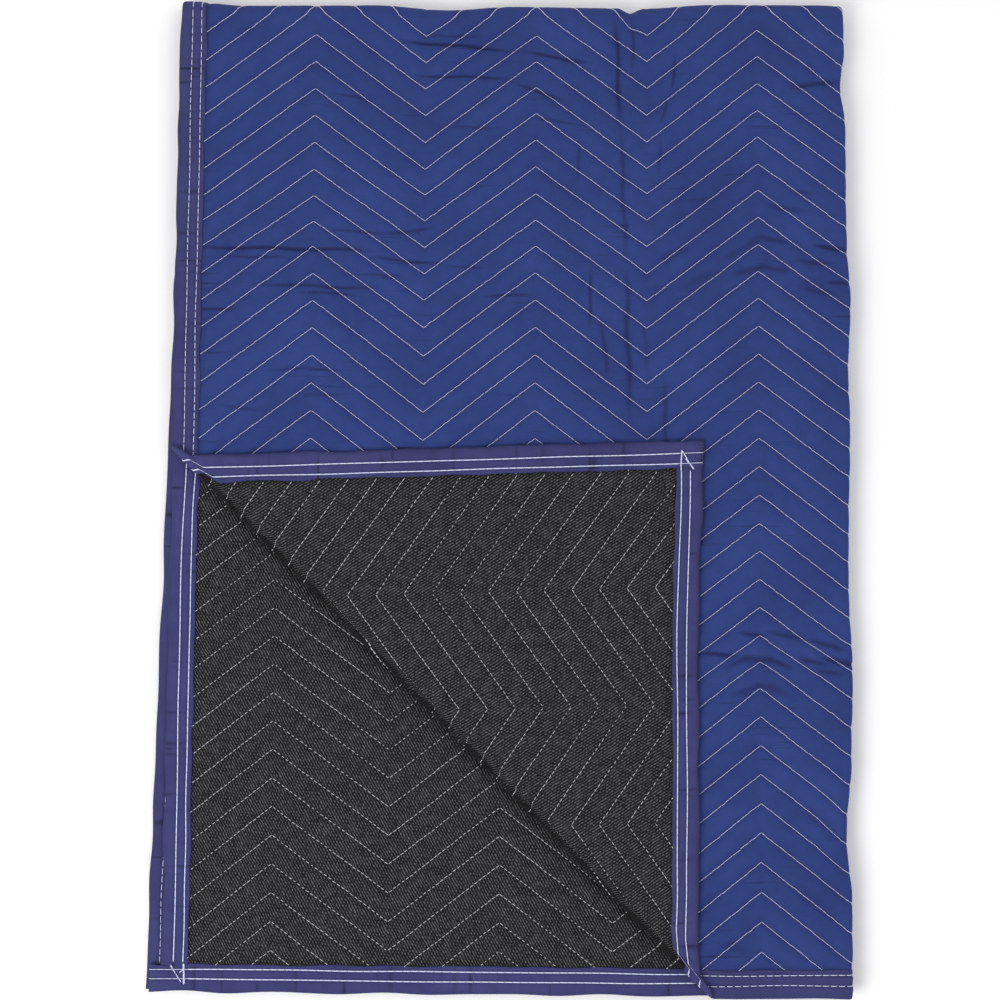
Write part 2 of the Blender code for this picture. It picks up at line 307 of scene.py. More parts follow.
# Creases left from storage and handling on the top layer, in millimetres: each one's two ends, its depth
# and its half width, as they lie after the lines have strayed. A negative depth is a ridge.
creaseTable = [
    (-290, 231, -110, 228, 1.5, 1.6),
    (-262, 223, -190, 221, 0.7, 1.4),
    (-285, 172, -240, 175, 1.1, 1.4),
    (-230, 197, -105, 193, 0.9, 1.5),
    (-190, 190, -130, 187, 0.8, 1.3),
    (-165, 247, -100, 244, 0.7, 1.4),
    (-110, 243, -60, 250, 0.8, 1.4),
    (-120, 222, -50, 216, 0.9, 1.4),
    (-135, 205, -85, 206, 0.6, 1.3),
    (-160, 375, -120, 368, 0.5, 1.4),
    (-100, 425, 14, 415, 1.5, 1.6),
    (-84, 392, 12, 389, 1.1, 1.4),
    (-70, 432, -20, 428, 0.7, 1.4),
    (-50, 345, 0, 341, 0.6, 1.4),
    (18, 414, 83, 404, 1.1, 1.6),
    (10, 384, 56, 369, 1, 1.5),
    (30, 352, 75, 346, 0.6, 1.3),
    (-18, 186, 30, 188, 0.8, 1.3),
    (-52, 215, -15, 212, 0.6, 1.3),
    (-210, 118, -165, 120, 0.6, 1.4),
    (-255, 85, -215, 81, 0.6, 1.4),
    (104, 452, 109, 340, 1.3, 2),
    (109, 350, 114, 215, 0.9, 2.2),
    (114, 225, 118, 60, 1.1, 2.2),
    (121, 448, 119, 395, 0.7, 1.6),
    (83, 215, 80, 155, 0.9, 1.6),
    (92, 170, 97, 110, 0.7, 1.8),
    (130, 165, 133, 115, 0.6, 2),
    (159, 410, 156, 380, 0.9, 1.5),
    (152, 370, 146, 350, 0.7, 1.5),
    (72, 330, 70, 295, 0.6, 1.5),
    (146, 335, 143, 300, 0.6, 1.6),
    (148, 118, 152, 20, 0.8, 2),
    (140, 218, 176, 232, 0.9, 3.5),
    (168, 196, 200, 211, 1, 3.5),
    (203, 220, 236, 243, 1.5, 3.4),
    (233, 244, 262, 239, 1.4, 3),
    (212, 207, 238, 216, 1.2, 2.8),
    (234, 217, 264, 212, 1.3, 2.8),
    (270, 222, 302, 217, 1.2, 2.6),
    (286, 236, 314, 229, 1.6, 2),
    (296, 201, 314, 199, 1.1, 1.8),
    (272, 198, 300, 189, 1, 2.6),
    (240, 273, 280, 266, 0.8, 2.2),
    (268, 286, 286, 283, 0.6, 1.8),
    (205, 232, 262, 228, -1.2, 7),
    (182, -138, 213, -139, 1.5, 1.9),
    (215, -119, 240, -121, 1.1, 1.8),
    (241, -117, 275, -123, 1, 2.1),
    (279, -123, 309, -135, 1.6, 2.6),
    (206, -150, 222, -141, 1.2, 2.6),
    (217, -142, 246, -142, 1.6, 3),
    (241, -141, 264, -149, 1.5, 2.8),
    (270, -141, 293, -147, 1.3, 2.2),
    (291, -141, 318, -149, 1.6, 2.1),
    (286, -152, 306, -156, 1.1, 2.2),
    (211, -175, 232, -166, 1, 3.1),
    (228, -166, 248, -166, 1.1, 3.1),
    (243, -166, 266, -175, 1, 3.1),
    (215, -130, 300, -134, -1.1, 5.5),
    (250, -268, 312, -300, 0.9, 6),
    (196, -395, 230, -400, 1.1, 4),
    (220, -360, 226, -395, 0.8, 5),
    (268, -340, 300, -370, 0.8, 6),
    (262, 384, 316, 386, 1.3, 2.2),
]


# The creases on the flat cloth: each end moved back by the stray of the lines there.
def flatCreases():
    rows = []
    for row in creaseTable:
        startU, startV, endU, endV, deep, wide = (value / 1000 for value in row)
        backStart = float(lineStray(startU, startV))
        backEnd = float(lineStray(endU, endV))
        rows.append((startU, startV - backStart, endU, endV - backEnd, deep, wide))
    return rows


creases = flatCreases()


# Places beside a crease: how far along it from its start, how far to its left, its length and direction.
def besideCrease(crease, u, v):
    startU, startV, endU, endV = crease[:4]
    length = math.hypot(endU - startU, endV - startV)
    alongU = (endU - startU) / length
    alongV = (endV - startV) / length
    along = (u - startU) * alongU + (v - startV) * alongV
    across = (v - startV) * alongU - (u - startU) * alongV
    return along, across, length, (alongU, alongV)


# Crease depth: a soft trough along each crease, fading out at its ends and wandering a little.
# With narrowness above 0 the wider ones count for less.
def creaseSink(u, v, narrowness=0):
    total = np.zeros(np.broadcast(u, v).shape)
    for crease in creases:
        deep, wide = crease[4:]
        deep = deep * min(1, 0.0017 / wide) ** narrowness
        along, across, length, _ = besideCrease(crease, u, v)
        wander = 0.45 * wide * np.sin(along / 0.011 + 40 * crease[0])
        fade = smooth(along, -0.004, 0.3 * length) * (1 - smooth(along, 0.7 * length, length + 0.004))
        total += deep * fade * np.exp(-(((across - wander) / wide) ** 2))
    return total


# What a user would change in the binding
binding = {
    "width": 0.0246,
    "lines": (0.0114, 0.0199),  # stitch lines, from the outer edge
    "underTape": 0.0012,
    "cover": 0.0006,  # how far the cloth's rise begins under the tape
    "rise": 0.0080,
    "stepAlong": 0.0050,
    "pleatHeight": 0.0011,
    "pleatGap": 0.030,
    "hollowShare": 0.72,  # share of the pleats that are hollows
    "overhang": {"bottom": 0.0105},  # how far a tape's end sticks out past the corner
}


# Share of the way from the tape, under which a cloth lies flat, to the open cloth
def freeOfTape(u, v):
    return smooth(edgeDistance(u, v), binding["width"] - binding["cover"], binding["width"] + binding["rise"])


# Height of the blue cloth's surface over the middle of the pad
def faceHeight(u, v):
    settings = foldSettings
    full = settings["padHalf"] + 0.0003 - quiltSink(u, v, quilting["faceDepth"]) - creaseSink(u, v)
    full = full + 0.00025 * softNoise(u, v, 0.07, 5)
    height = binding["underTape"] + (full - binding["underTape"]) * freeOfTape(u, v)
    onFloor = smooth(v, settings["topStart"], settings["topStart"] + math.pi * largeRadius)
    onFloor = onFloor * (u < settings["sideStart"])
    lowered = np.minimum(height, settings["padHalf"] + 0.0003 * (1 - onFloor))
    return np.where(onFloor > 0, lowered, height)


# Depth of the lining's surface under the middle of the pad
def liningHeight(u, v):
    full = foldSettings["padHalf"] + 0.0002 - quiltSink(u, v, quilting["liningDepth"])
    full = full + 0.00018 * softNoise(u, v, 0.05, 6)
    return -(binding["underTape"] + (full - binding["underTape"]) * freeOfTape(u, v))


# Cuts through the given faces, square to a direction, at each of the given reaches along it
def cutFaces(mesh, faces, direction, reaches, tolerance):
    edges = {edge for face in faces for edge in face.edges}
    verts = {vert for face in faces for vert in face.verts}
    geometry = faces + list(edges) + list(verts)
    for reach in reaches:
        made = bmesh.ops.bisect_plane(
            mesh, geom=geometry, dist=tolerance, plane_co=direction * reach, plane_no=direction
        )
        geometry = made["geom"]


# Strip of faces near a line, cut along each of the given reaches past the origin of its normal.
# Between keeps the cuts to faces whose middles lie between two lengths v.
def cutAlong(mesh, normal, reaches, margin, between=(-9, 9)):
    direction = Vector((normal[0], normal[1], 0))
    allFaces = list(mesh.faces)
    middles = np.array([face.calc_center_median()[:2] for face in allFaces])
    past = middles @ np.array(normal)
    near = (past > min(reaches) - margin) & (past < max(reaches) + margin)
    near &= (middles[:, 1] > between[0]) & (middles[:, 1] < between[1])
    faces = [allFaces[index] for index in np.flatnonzero(near)]
    cutFaces(mesh, faces, direction, reaches, 1e-6)


# Cuts beside each listed crease, closest at its middle, so that a narrow trough has its own faces
def cutAtCreases(mesh):
    faces = list(mesh.faces)
    middles = np.array([face.calc_center_median()[:2] for face in faces])
    for crease in creases:
        wide = crease[5]
        along, across, length, (alongU, alongV) = besideCrease(crease, middles[:, 0], middles[:, 1])
        near = (np.abs(across) < 2.4 * wide + 0.002) & (along > -0.006) & (along < length + 0.006)
        picked = [faces[index] for index in np.flatnonzero(near) if faces[index].is_valid]
        base = crease[1] * alongU - crease[0] * alongV
        reaches = [base + share * wide for share in (-1.9, -1.0, -0.35, 0.35, 1.0, 1.9)]
        cutFaces(mesh, picked, Vector((-alongV, alongU, 0)), reaches, 1e-5)


# Corners of the four-sided faces of a grid of vertex numbers, counter-clockwise
def gridQuads(grid):
    corners = [grid[:-1, :-1], grid[:-1, 1:], grid[1:, 1:], grid[1:, :-1]]
    return np.stack([corner.ravel() for corner in corners], axis=1)


# Zigzag net: columns stand at set widths and rows follow the stitch lines, v = row - chevronFall(u).
# It is trimmed to the outline and cut along the folds, so that each bend has enough facets.
def clothNet(columns, rows, creased):
    u, row = np.meshgrid(columns, rows)
    v = row - chevronFall(u)
    count = u.size
    grid = np.arange(count).reshape(u.shape)
    quads = gridQuads(grid)
    inside = edgeDistance(u, v).ravel() > -0.06
    quads = quads[inside[quads].any(axis=1)]
    flat = bpy.data.meshes.new("flatNet")
    points = np.stack([u.ravel(), v.ravel(), np.zeros(count)], axis=1)
    flat.from_pydata(points.tolist(), [], quads.tolist())
    mesh = bmesh.new()
    mesh.from_mesh(flat)
    bpy.data.meshes.remove(flat)
    waist = outline["waist"][1]
    inset = 0.0016
    for name in sideNames:
        start, _, inward, _ = sideLine(name)
        base = float(np.dot(start, inward))
        edges = [inset] + [binding["width"] + step for step in (-binding["cover"], 0.0030, binding["rise"])]
        between = {"rightLow": (-9, waist + 0.03), "rightHigh": (waist - 0.03, 9)}.get(name, (-9, 9))
        cutAlong(mesh, inward, [base + edge for edge in edges], 0.03, between)
    settings = foldSettings
    arc = math.pi * smallRadius
    facets = np.linspace(-0.02, 1.02, 13)
    cutAlong(mesh, (-diagonal, -diagonal), list(settings["flapStart"] + arc * facets), 0.02)
    arc = math.pi * largeRadius
    cutAlong(mesh, (0, 1), list(settings["topStart"] + arc * facets), 0.03)
    if creased:
        cutAtCreases(mesh)
    faces = list(mesh.faces)
    middles = np.array([face.calc_center_median()[:2] for face in faces])
    kept = edgeDistance(middles[:, 0], middles[:, 1]) > inset - 1e-5
    outside = [face for face, keep in zip(faces, kept) if not keep]
    bmesh.ops.delete(mesh, geom=outside, context="FACES")
    loose = [vert for vert in mesh.verts if not vert.link_faces]
    bmesh.ops.delete(mesh, geom=loose, context="VERTS")
    return mesh


# Painted shade on the blue cloth: 0 on the open bands, up to 1 deep in a crease, along a stitch line or
# beside the tape, where shade falls
def paintedFaceShade(u, v):
    away = fromLine(u, v) * quilting["linePitch"]
    paintedShade = 0.22 * np.exp(-((away / 0.0020) ** 2)) + 0.12 * np.exp(-((away / 0.0060) ** 2))
    paintedShade = paintedShade + np.clip(creaseSink(u, v, 1.1), 0, 1) / 0.0011
    beside = edgeDistance(u, v) - binding["width"]
    return np.clip(paintedShade + 0.45 * np.exp(-np.abs(beside) / 0.0018), 0, 1)


# Painted shade on the lining: darker along its stitch lines, beside the tape and in an uneven band on both
# sides of the diagonal crease, on the turned-back corner and on the layer below it, where shade falls
def paintedLiningShade(u, v):
    away = fromLine(u, v) * quilting["linePitch"]
    paintedShade = 0.25 * np.exp(-((away / 0.0030) ** 2))
    beside = edgeDistance(u, v) - binding["width"]
    paintedShade = paintedShade + 0.6 * np.exp(-np.abs(beside) / 0.0025)
    side = foldSettings["sideStart"]
    below = u > side
    lyingAt = np.where(below, 2 * side + math.pi * smallRadius - u, u)
    past = -(lyingAt + v) * diagonal - foldSettings["flapStart"]
    wide = 0.0016 * (1 + 0.45 * softNoise(u, v, 0.05, 15))
    away = past - np.where(below, 0.0030, 0.0072)
    band = (0.85 + 0.30 * softNoise(u, v, 0.03, 16)) * np.exp(-((away / wide) ** 2))
    return np.clip(paintedShade + band + 0.32 * np.exp(-((away / 0.0060) ** 2)), 0, 1)


# Piece from its finished mesh: a UV map with one place for each vertex, its painted shade as an attribute,
# smooth
def addPiece(name, data, mapU, mapV, paintedShade=None):
    loops = np.empty(len(data.loops), np.int32)
    data.loops.foreach_get("vertex_index", loops)
    uvMap = data.uv_layers.new(name="flat")
    uvMap.data.foreach_set("uv", np.stack([mapU[loops], mapV[loops]], axis=1).ravel())
    if paintedShade is not None:
        paintedShades = data.attributes.new("paintedShade", "FLOAT", "POINT")
        paintedShades.data.foreach_set("value", paintedShade)
    data.shade_smooth()
    data.update()
    piece = bpy.data.objects.new(name, data)
    bpy.context.scene.collection.objects.link(piece)
    return piece


# Object from a flat net: heights come from the given function, then everything is folded.
# The flat place stays as the UV map, in metres.
def foldedCloth(name, mesh, height, paintedShade, facingUp):
    data = bpy.data.meshes.new(name)
    mesh.to_mesh(data)
    mesh.free()
    points = np.empty(len(data.vertices) * 3)
    data.vertices.foreach_get("co", points)
    u, v, _ = points.reshape(-1, 3).T.copy()
    data.vertices.foreach_set("co", fold(u, v, height(u, v)).ravel())
    if not facingUp:
        data.flip_normals()
    return addPiece(name, data, u, v, paintedShade(u, v))


# Row places for the net: close together beside each stitch line, wide between, and wider past a limit.
def netRows(low, high, fineUpTo):
    pitch = quilting["linePitch"]
    fine = np.array([0, 0.034, 0.10, 0.24, 0.41, 0.59, 0.76, 0.90, 0.966])
    coarse = np.array([0, 0.2, 0.5, 0.8])
    first = math.floor((low - quilting["peakRow"]) / pitch)
    last = math.ceil((high + chevronDrop - quilting["peakRow"]) / pitch)
    rows = []
    for line in range(first, last + 1):
        base = quilting["peakRow"] + line * pitch
        rows.extend(base + pitch * (fine if base < fineUpTo else coarse))
    return np.array(rows)


# Column places: peaks and valleys of the chevrons always have one, and the bend round the side crease
# is finer.
def netColumns(fineStretches):
    apexes = flatWidth(quilting["peakColumn"] + quilting["halfPeriod"] * np.arange(-6, 8))
    arc = math.pi * smallRadius
    bendColumns = foldSettings["sideStart"] + arc * np.linspace(-0.02, 1.02, 13)
    places = list(apexes) + list(bendColumns)
    for low, high, step in fineStretches:
        places.extend(np.arange(low, high, step))
    places = np.sort(np.array(places))
    kept = [places[0]]
    important = set(np.round(list(apexes) + list(bendColumns), 6))
    closest = 0.0022
    for place in places[1:]:
        if place - kept[-1] > closest or round(place, 6) in important:
            if place - kept[-1] < closest and round(kept[-1], 6) not in important:
                kept.pop()
            if place - kept[-1] > 1e-5:
                kept.append(place)
    return np.array(kept)


def makeFaceCloth():
    print("blue face cloth")
    columns = netColumns([(-0.33, 0.335, 0.0063), (0.335, 0.98, 0.020)])
    rows = netRows(-0.47, 1.39, 0.56)
    piece = foldedCloth("faceCloth", clothNet(columns, rows, True), faceHeight, paintedFaceShade, True)
    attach(piece, "root")
    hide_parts("face_panel")
    return piece


def makeLining():
    print("charcoal lining")
    columns = netColumns([(-0.33, 0.21, 0.006), (0.21, 0.44, 0.020), (0.44, 0.98, 0.006)])
    rows = netRows(-0.47, 1.39, 0.12)
    piece = foldedCloth("liningCloth", clothNet(columns, rows, False), liningHeight, paintedLiningShade, False)
    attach(piece, "root")
    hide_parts("lining_panel")
    return piece


# Binding section, from its inner edge on the blue side round the pad's edge to the lining side,
# as the distance from the outer edge and the height. The points are in millimetres.
def bindingSection():
    upper = [
        (24.6, 1.15),
        (24.5, 1.75),
        (23.9, 2.15),
        (22.2, 2.25),
        (20.9, 2.15),
        (19.9, 1.9),
        (18.9, 2.15),
        (17, 2.4),
        (14.3, 2.4),
        (12.4, 2.15),
        (11.4, 1.9),
        (10.4, 2.15),
        (8, 2.45),
        (5, 2.45),
        (2.6, 2.25),
        (1.1, 1.75),
        (0.3, 1),
    ]
    lower = [(inset, -height) for inset, height in reversed(upper)]
    return np.array(upper + [(0, 0)] + lower) / 1000


# Crossing of two sides, each moved inwards by its own inset (arrays allowed for the first)
def crossing(name, inset, otherName, otherInset):
    start, along, inward, _ = sideLine(name)
    otherStart, _, otherInward, _ = sideLine(otherName)
    point = start + np.asarray(inset)[..., None] * inward
    reach = ((otherStart + otherInset * otherInward - point) @ otherInward) / (along @ otherInward)
    return point + reach[..., None] * along


# Pleats across a tape: uneven places along it, each with a width, a height (some are hollows), and the
# inset and the reach of its middle, as most cross only a part of the tape
def pleatTable(length, seed):
    made = np.random.default_rng(seed)
    count = int(length / binding["pleatGap"])
    places = np.sort(made.uniform(0.012, length - 0.012, count))
    wides = made.uniform(0.0007, 0.0019, count)
    highs = binding["pleatHeight"] * made.uniform(0.35, 1.0, count)
    highs = highs * np.where(made.random(count) < binding["hollowShare"], -1, 1)
    insets = made.uniform(0.002, 0.024, count)
    return places, wides, highs, insets, made.uniform(0.004, 0.016, count)


# Stations along one leg of a tape: even steps, with five more across each pleat, as shares of its length
def tapeStations(length, pleats):
    places, wides = pleats[:2]
    extra = (places[:, None] + wides[:, None] * np.array([-2.0, -1.0, 0.0, 1.0, 2.0])).ravel()
    stations = np.sort(np.concatenate([np.arange(0, length, binding["stepAlong"]), extra]))
    stations = stations[(stations >= 0) & (stations < length - 0.0008)]
    kept = np.concatenate([[True], np.diff(stations) > 0.0004])
    return stations[kept] / length


# Binding: the section swept along one run of sides. It starts tucked under the binding before it
# and ends flat at the corner, where it covers the next one's start.
def makeBinding(name, run, node, seed):
    section = bindingSection()
    before = sideNames[sideNames.index(run[0]) - 1]
    after = sideNames[(sideNames.index(run[-1]) + 1) % len(sideNames)]
    stops = [crossing(run[0], section[:, 0], before, 0.0170)]
    if len(run) == 2:
        middle, _, inwardHigh, _ = sideLine(run[1])
        _, _, inwardLow, _ = sideLine(run[0])
        stops.append(middle + section[:, :1] * (inwardLow + inwardHigh) / 2)
    stops.append(crossing(run[-1], section[:, 0], after, 0.0003 - binding["overhang"].get(run[-1], 0)))
    pieces = []
    bumps = []
    for leg, (low, high) in enumerate(zip(stops, stops[1:])):
        length = np.linalg.norm(high - low, axis=1).max()
        pleats = pleatTable(length, seed + 7 * leg)
        share = tapeStations(length, pleats)
        pieces.append(low + (high - low) * share[:, None, None])
        away = (share[:, None] * length - pleats[0]) / pleats[1]
        aside = (section[:, :1] - pleats[3]) / pleats[4]
        bumps.append((pleats[2] * np.exp(-away * away)) @ np.exp(-aside * aside).T)
    pieces.append(stops[-1][None])
    bumps.append(np.zeros((1, len(section))))
    flat = np.concatenate(pieces)
    bump = np.concatenate(bumps)
    flat, bump = denserAtCreases(flat, bump)
    middleLine = flat[:, len(section) // 2]
    along = np.concatenate([[0], np.cumsum(np.linalg.norm(np.diff(middleLine, axis=0), axis=1))])
    height = np.repeat(section[None, :, 1], len(flat), axis=0)
    inset = np.repeat(section[None, :, 0], len(flat), axis=0)
    inward = sideLine(run[0])[2]
    alongWide = np.repeat(along[:, None], len(section), axis=1)
    crown = np.clip(inset / 0.004, 0, 1)
    lineNear = np.min([np.abs(inset - line) for line in binding["lines"]], axis=0)
    fromSeam = smooth(lineNear, 0.0005, 0.0035)
    loose = crown * (0.35 + 0.65 * fromSeam)
    uneven = 0.00042 * softNoise(alongWide, inset * 3, 0.026, seed + 1) * fromSeam * crown
    height = height + np.sign(height) * (bump * loose + uneven)
    sway = 0.0006 * softNoise(alongWide, 0 * inset, 0.06, seed + 2)
    edgeSway = sway * (1 - np.clip(inset / 0.008, 0, 1))
    innerSway = 0.0004 * softNoise(alongWide, 0 * inset, 0.04, seed + 3)
    innerSway = innerSway * np.clip(inset / 0.02 - 0.8, 0, 1) * 4
    flat = flat + (edgeSway + innerSway)[..., None] * inward
    tucked = smooth(alongWide, 0.0040, 0.0090)
    height = height * (0.45 + 0.55 * tucked)
    closing = smooth(alongWide.max() - alongWide, 0.0, 0.0022)
    height = height * (0.12 + 0.88 * np.sqrt(closing))
    onFloor = (flat[..., 1] > foldSettings["topStart"]) & (flat[..., 0] < foldSettings["sideStart"])
    height = np.where(onFloor, np.minimum(height, foldSettings["padHalf"]), height)
    places = fold(flat[..., 0], flat[..., 1], height)
    # Painted shade: darker along the stitch lines, in the pleats' hollows, at the inner edge and round the
    # outer edge, with a painted shadow line where the covering tape's edge lies across this one's start
    paintedShade = 0.45 * np.exp(-((lineNear / 0.0014) ** 2)) - 850 * np.minimum(bump, 0)
    coverEdgeShadow = np.exp(-(((alongWide - 0.0085) / 0.0011) ** 2))
    paintedShade = np.clip(paintedShade + 0.5 * smooth(inset, 0.0236, 0.0246) + 0.35 * (1 - crown) + 0.7 * coverEdgeShadow, 0, 1)
    piece = gridObject(name, places, alongWide, np.cumsum(np.ones_like(inset), axis=1) * 0.0015, paintedShade)
    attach(piece, "root")
    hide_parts(node)
    return piece


# More stations where a strip goes round a fold: every step there is split into eight, its pleat height
# with it.
def denserAtCreases(flat, bump):
    middle = flat[:, flat.shape[1] // 2]
    settings = foldSettings
    flap = -(middle[:, 0] + middle[:, 1]) * diagonal - settings["flapStart"]
    side = middle[:, 0] - settings["sideStart"]
    top = middle[:, 1] - settings["topStart"]
    rows = []
    bumps = []
    bends = ((flap, smallRadius, 0.020), (side, smallRadius, 0.004), (top, largeRadius, 0.004))
    for index in range(len(flat) - 1):
        bent = any(-margin < past[index] < math.pi * radius + margin for past, radius, margin in bends)
        parts = 8 if bent else 1
        for part in range(parts):
            rows.append(flat[index] + (flat[index + 1] - flat[index]) * part / parts)
            bumps.append(bump[index] + (bump[index + 1] - bump[index]) * part / parts)
    rows.append(flat[-1])
    bumps.append(bump[-1])
    return np.array(rows), np.array(bumps)


# Object from a grid of places, rows by columns by three, smooth, with its own UV map and painted shade
def gridObject(name, places, mapU, mapV, paintedShade):
    rows, columns = places.shape[:2]
    grid = np.arange(rows * columns).reshape(rows, columns)
    data = bpy.data.meshes.new(name)
    data.from_pydata(places.reshape(-1, 3).tolist(), [], gridQuads(grid).tolist())
    return addPiece(name, data, mapU.ravel(), mapV.ravel(), paintedShade.ravel())


# Stitches: each is a small tube from start to end that rises in the middle and dips into the cloth at its
# ends. starts and ends are flat places, height gives the cloth's surface, and side is 1 on the blue side and
# -1 under it. dip is how deep its ends go, in thicknesses, and sunk is how far each is drawn into the cloth.
def makeStitches(name, starts, ends, height, side, thick, lift, dip, rings, sunk=0.0):
    count = len(starts)
    share = np.linspace(0, 1, rings)
    swell = np.sin(math.pi * share) ** 0.6
    reach = ends - starts
    length = np.linalg.norm(reach, axis=1, keepdims=True)
    along = reach / length
    across = np.stack([-along[:, 1], along[:, 0]], axis=1)
    centre = starts[:, None] + reach[:, None] * share[None, :, None]
    base = height(centre[..., 0], centre[..., 1])
    sunk = np.broadcast_to(sunk, (count,))[:, None]
    thick = np.broadcast_to(thick, (count,))[:, None]
    rise = side * (lift - (min(1, 2 * dip) * lift + dip * thick) * (1 - swell) - sunk)
    radius = thick / 2 * (1 - 0.7 * dip * (1 - swell))
    corners = 4
    turn = 2 * math.pi * (np.arange(corners) + 0.5) / corners
    sideways = radius[..., None] * np.cos(turn)
    upwards = radius[..., None] * np.sin(turn)
    flat = centre[:, :, None] + across[:, None, None] * sideways[..., None]
    level = (base + rise)[:, :, None] + upwards
    places = fold(flat[..., 0], flat[..., 1], level).reshape(-1, 3)
    index = np.arange(count * rings * corners).reshape(count, rings, corners)
    following = np.roll(index, -1, axis=2)
    quads = np.stack([index[:, :-1], following[:, :-1], following[:, 1:], index[:, 1:]], axis=-1)
    quads = np.concatenate([quads.reshape(-1, 4), index[:, 0, ::-1], index[:, -1]])
    data = bpy.data.meshes.new(name)
    data.from_pydata(places.tolist(), [], quads.tolist())
    shares = np.broadcast_to(share[None, :, None], (count, rings, corners)).ravel()
    piece = addPiece(name, data, shares, np.tile(turn / (2 * math.pi), count * rings))
    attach(piece, "root")
    return piece


# Quilting stitches: every slope of every line is shared out evenly into about as many stitches as fit, so
# that each peak has a joint, and they are kept where the test holds. Each fills a share of its length, which
# wanders by the uneven share.
def quiltingStitches(low, high, left, right, fill, uneven, keep):
    pitch = quilting["linePitch"]
    half = quilting["halfPeriod"]
    first = math.floor((low - quilting["peakRow"]) / pitch)
    last = math.ceil((high + chevronDrop - quilting["peakRow"]) / pitch)
    lines = quilting["peakRow"] + pitch * np.arange(first, last + 1)
    slopes = np.arange(math.floor((left - quilting["peakColumn"]) / half), 8)
    most = round(math.hypot(half, chevronDrop) / quilting["stitchLength"]) + 1
    counts = rng.integers(most - 3, most + 1, size=(len(lines), len(slopes), 1))
    place = np.arange(most)
    pattern = quilting["peakColumn"] + half * (slopes[:, None] + place / counts)
    u = flatWidth(pattern)
    line = np.broadcast_to(lines[:, None, None], u.shape)
    endU = flatWidth(pattern + half / counts * (fill + uneven * softNoise(u, line, 0.05, 77)))
    starts = np.stack([u.ravel(), (line - chevronFall(u)).ravel()], axis=1)
    ends = np.stack([endU.ravel(), (line - chevronFall(endU)).ravel()], axis=1)
    wobble = rng.normal(0, 0.00012, size=starts.shape)
    middleU, middleV = ((starts + ends) / 2).T
    kept = (place < counts).ravel() & (middleU > left) & (middleU < right)
    kept = kept & keep(middleU, middleV) & (edgeDistance(middleU, middleV) > binding["width"] - 0.001)
    return (starts + wobble)[kept], (ends + wobble)[kept]


# Binding stitches: the two lines of a side, one dash apart. A covered start has none, and where the tape
# covers the next one's start the thread lies thinner. Returns the starts, ends and thicknesses.
def bindingStitches(name, dash, fill, thick, seed):
    start, along, inward, length = sideLine(name)
    covered = 0.0 if name == "rightHigh" else 0.0262
    starts = []
    ends = []
    thicks = []
    for line in binding["lines"]:
        far = length + binding["overhang"].get(name, 0)
        reach = np.arange(covered + rng.uniform(0, 0.001), far - 0.5 * dash, dash)
        further = np.minimum(reach + dash * fill, far - 0.0006)
        sway = 0.00035 * softNoise(reach, 0 * reach, 0.09, seed)
        swayOn = 0.00035 * softNoise(further, 0 * further, 0.09, seed)
        starts.append(start + reach[:, None] * along + (line + sway)[:, None] * inward)
        ends.append(start + further[:, None] * along + (line + swayOn)[:, None] * inward)
        atEnd = (reach > length - 0.026) & (name != "rightLow")
        thicks.append(np.where(atEnd, 0.62 * thick, thick))
        seed += 1
    return np.concatenate(starts), np.concatenate(ends), np.concatenate(thicks)


def tapeTop(u, v):
    return np.full(np.shape(u), 0.00195)


def tapeUnder(u, v):
    return np.full(np.shape(u), -0.00195)


def makeQuiltingThread():
    print("quilting thread")
    s = foldSettings
    flapEnd = s["flapStart"] + math.pi * smallRadius

    def topLayer(u, v):
        beforeFlap = -(u + v) * diagonal < flapEnd
        return beforeFlap & (u < s["sideStart"] + 0.010) & (v < s["topStart"] + 0.020)

    def bottomLayer(u, v):
        return (u < s["sideStart"] + 0.010) & (v > s["topStart"] + 0.020)

    def liningSeen(u, v):
        onFlap = -(u + v) * diagonal > s["flapStart"] - 0.001
        mirrored = 2 * s["sideStart"] + math.pi * smallRadius - u
        underFlap = (u > 0.42) & (-(mirrored + v) * diagonal > s["flapStart"] - 0.015) & (v < 0.2)
        return onFlap | underFlap

    # After the side, 1 or -1: thickness, lift, dip and rings
    starts, ends = quiltingStitches(-0.45, 0.48, -0.31, 0.33, 1.02, 0.0, topLayer)
    onFace = makeStitches(
        "threadOnFace", starts, ends, faceHeight, 1, 0.00053, 0.00032, 0.25, 4
    )
    starts, ends = quiltingStitches(0.44, 1.36, -0.31, 0.33, 1.0, 0.0, bottomLayer)
    under = makeStitches("threadUnder", starts, ends, faceHeight, 1, 0.00060, 0.00015, 0.2, 2)
    starts, ends = quiltingStitches(-0.45, 0.20, -0.31, 0.95, 0.84, 0.07, liningSeen)
    uneven = softNoise(starts[:, 0], starts[:, 1], 0.13, 91) + rng.normal(0, 0.5, len(starts))
    sunk = 0.00034 * np.clip(uneven, -0.4, 1.5)
    onLining = makeStitches(
        "threadOnLining", starts, ends, liningHeight, -1, 0.00075, 0.00040, 0.5, 4, sunk
    )
    return [onFace, under, onLining]


# Bartacks: the strokes sewn over each corner, by their ends along the covering tape and along the covered one
bartacks = {
    "lowLeft": [
        ((0.0202, 0.0093), (0.0200, 0.0267)),
        ((0.0202, 0.0093), (0.0091, 0.0250)),
        ((0.0160, 0.0161), (0.0137, 0.0193)),
    ],
    "lowRight": [
        ((0.0091, 0.0234), (0.0182, 0.0093)),
        ((0.0212, 0.0250), (0.0214, 0.0076)),
        ((0.0178, 0.0175), (0.0212, 0.0201)),
    ],
}


